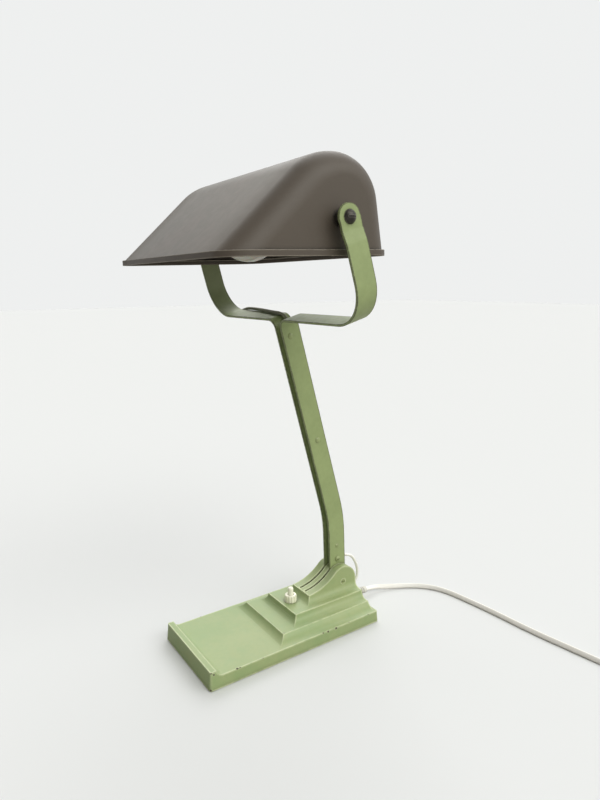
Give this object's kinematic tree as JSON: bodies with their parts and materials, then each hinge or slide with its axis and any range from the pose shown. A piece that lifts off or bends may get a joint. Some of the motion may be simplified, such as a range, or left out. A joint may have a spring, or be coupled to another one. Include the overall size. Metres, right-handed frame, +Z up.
{
  "type": "desk lamp",
  "caption": "Banker-style desk lamp: stepped green cast base with pen tray, pivoted flat-strip arm splaying into a yoke, tilting dark half-barrel shade, push switch and white flex.",
  "frame": {"origin": "centre of the base's footprint, on the surface that the lamp stands on", "axes": "+Z up; -Y is the front, where the pen tray is; +X is the right-hand side of someone sitting at the lamp's front"},
  "size_m": [0.4404, 0.528, 0.4454],
  "materials": {
    "base_enamel": "old green enamel over cast iron, chipped at the edges",
    "arm_enamel": "old green enamel, satin",
    "rivet_enamel": "green enamel, worn",
    "plain_steel": "dull steel",
    "screw_steel": "dull steel",
    "dark_steel": "blackened steel",
    "spring_steel": "bright wire",
    "felt": "wool felt",
    "bakelite": "dark brown bakelite",
    "cream_plastic": "cream thermoset",
    "porcelain": "glazed porcelain",
    "fibre": "vulcanised fibre",
    "white_rubber": "white rubber",
    "dark_rubber": "black rubber",
    "white_flex": "white PVC flex",
    "white_plastic": "white moulded plastic",
    "plug_brass": "nickelled brass",
    "brass": "brass",
    "cap_metal": "thin sheet",
    "shade_enamel": "dark brown enamel, satin",
    "bulb_opal": "opal glass"
  },
  "bodies": {
    "base": {"base_casting": "base_enamel", "base_plate": "plain_steel", "base_felt": "felt", "base_plate_screws": "screw_steel", "switch_body": "bakelite", "switch_collar": "cream_plastic", "switch_contacts": "brass", "switch_wires": "white_flex", "terminal_block": "porcelain", "terminal_screws": "brass", "cord_clamp": "fibre", "cord_clamp_screws": "screw_steel", "cord_strain_relief": "white_rubber", "mains_cord": "white_flex", "cord_coil": "white_flex", "cord_tail": "white_flex", "plug_body": "white_plastic", "plug_pins": "plug_brass", "foot_lead": "white_flex", "lead_bush": "white_rubber", "arm_pivot_bolt": "rivet_enamel", "arm_pivot_nut": "rivet_enamel"},
    "button": {"switch_plunger": "cream_plastic", "switch_spring": "spring_steel"},
    "arm": {"arm_strip_left": "arm_enamel", "arm_strip_right": "arm_enamel", "arm_rivets": "rivet_enamel", "arm_spacers": "plain_steel", "arm_foot_screw": "rivet_enamel", "arm_foot_nut": "rivet_enamel", "arm_lead": "white_flex"},
    "shade": {"shade_shell": "shade_enamel", "shade_screws": "dark_steel", "shade_spacers": "dark_steel", "shade_nuts": "plain_steel", "holder_bracket": "plain_steel", "bracket_rivet": "dark_steel", "holder_nipple": "brass", "holder_nipple_nut": "brass", "lampholder_cap": "bakelite", "lampholder_insert": "porcelain", "lampholder_skirt": "bakelite", "bulb_cap": "cap_metal", "bulb_glass": "bulb_opal", "shade_grommet": "dark_rubber", "shade_lead": "white_flex"}
  },
  "joints": [
    {"name": "arm_tilt", "type": "hinge", "parent": "base", "child": "arm", "pos_m": [0, 0.077, 0.037], "axis": [1, 0, 0], "range_deg": [-20, 25], "deforming": ["foot_lead"]},
    {"name": "shade_tilt", "type": "hinge", "parent": "arm", "child": "shade", "pos_m": [0, -0.006, 0.395], "axis": [1, 0, 0], "range_deg": [-45, 45]},
    {"name": "switch_press", "type": "slide", "parent": "base", "child": "button", "axis": [0, 0, -1], "range_m": [0, 0.003], "stiffness_N_per_m": 300, "springref_m": -0.003, "deforming": ["switch_spring"]}
  ]
}
